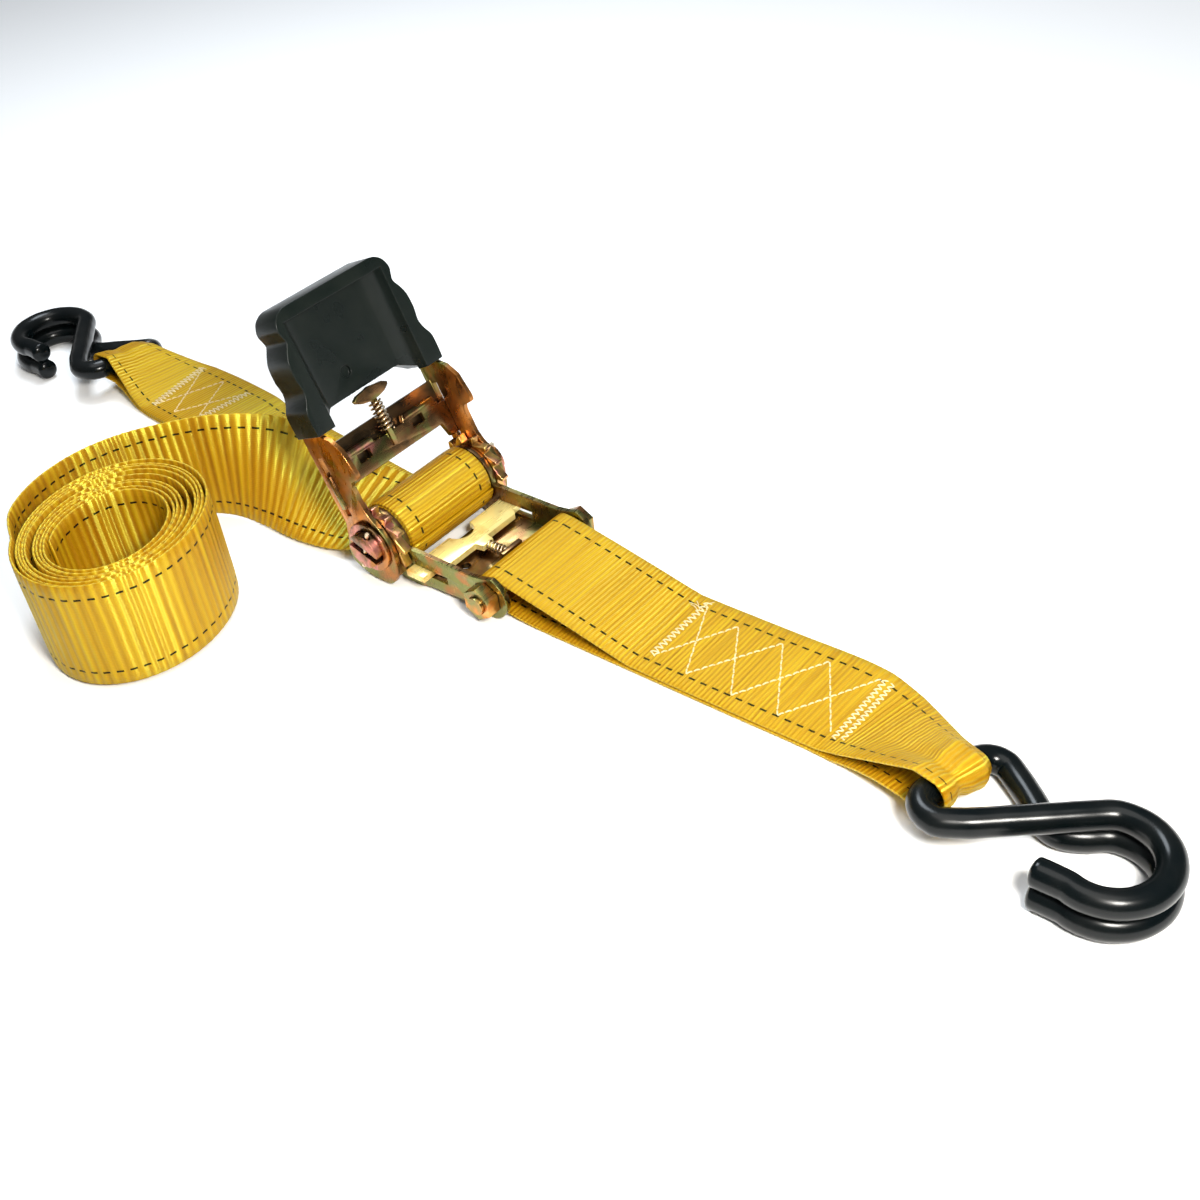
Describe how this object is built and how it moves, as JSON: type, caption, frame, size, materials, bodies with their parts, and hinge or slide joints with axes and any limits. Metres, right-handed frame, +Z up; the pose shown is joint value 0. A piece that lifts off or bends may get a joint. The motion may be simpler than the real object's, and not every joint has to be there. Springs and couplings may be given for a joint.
{
  "type": "ratchet tie down",
  "caption": "Ratchet tie down strap: hand ratchet with lever handle and spindle, short sewn webbing with a double hook, and a long webbing with a second double hook and coiled loose end.",
  "frame": {"origin": "centre of the flat round foot pressed into the underside of the ratchet frame's floor, on the surface the assembly lies on", "axes": "+X along the straps towards the hook of the short fixed strap, +Y along the spindle, +Z up"},
  "size_m": [0.6747, 0.1993, 0.1172],
  "materials": {
    "plated_steel": "yellow zinc plated pressed steel",
    "bright_plated_steel": "bright yellow zinc plate",
    "spring_steel": "bright spring wire",
    "yellow_webbing": "woven polyester, ribbed, with black dashed marker threads",
    "black_grip": "satin moulded rubber",
    "black_vinyl": "glossy dipped vinyl coating over steel wire"
  },
  "bodies": {
    "base": {"base_frame": "plated_steel", "anchor_bolt": "plated_steel", "anchor_nut": "plated_steel", "lock_spring": "spring_steel", "hook_strap": "yellow_webbing", "tail_strap": "yellow_webbing"},
    "handle": {"handle_frame": "plated_steel", "handle_grip": "black_grip", "drive_spring": "spring_steel"},
    "drive_pawl": {"drive_pawl": "bright_plated_steel"},
    "lock_pawl": {"lock_pawl": "bright_plated_steel"},
    "spindle": {"spindle_upper_half": "plated_steel", "spindle_lower_half": "plated_steel", "ratchet_wheel_near": "plated_steel", "ratchet_wheel_far": "plated_steel", "end_washer_near": "plated_steel", "end_washer_far": "plated_steel", "split_pin_near": "spring_steel", "split_pin_far": "spring_steel", "wound_webbing": "yellow_webbing"},
    "fixed_strap": {"fixed_strap": "yellow_webbing"},
    "fixed_hook": {"fixed_hook": "black_vinyl"},
    "long_hook": {"long_hook": "black_vinyl"}
  },
  "joints": [
    {"name": "handle_swing", "type": "hinge", "parent": "base", "child": "handle", "pos_m": [-0.033, 0, 0.019], "axis": [0, -1, 0], "range_deg": [-98, 38]},
    {"name": "spindle_turn", "type": "hinge", "parent": "base", "child": "spindle", "pos_m": [-0.033, 0, 0.019], "axis": [0, 1, 0], "continuous": true},
    {"name": "drive_pawl_slide", "type": "slide", "parent": "handle", "child": "drive_pawl", "axis": [-0.3746, 0, 0.9272], "range_m": [0, 0.006], "stiffness_N_per_m": 500, "springref_m": -0.006, "deforming": ["drive_spring"]},
    {"name": "lock_pawl_slide", "type": "slide", "parent": "base", "child": "lock_pawl", "axis": [1, 0, 0], "range_m": [0, 0.006], "stiffness_N_per_m": 500, "springref_m": -0.006, "deforming": ["lock_spring"]},
    {"name": "fixed_strap_swing", "type": "hinge", "parent": "base", "child": "fixed_strap", "pos_m": [0.025, 0, 0.0105], "axis": [0, -1, 0], "range_deg": [0, 20]},
    {"name": "fixed_hook_swing", "type": "hinge", "parent": "fixed_strap", "child": "fixed_hook", "pos_m": [0.22872, -0.01798, 0.0116], "axis": [-0.1355, -0.9644, 0.2272], "range_deg": [0, 60]},
    {"name": "long_hook_swing", "type": "hinge", "parent": "base", "child": "long_hook", "pos_m": [-0.28183, 0.02201, 0.0116], "axis": [-0.0849, 0.9701, -0.2272], "range_deg": [0, 60]}
  ]
}
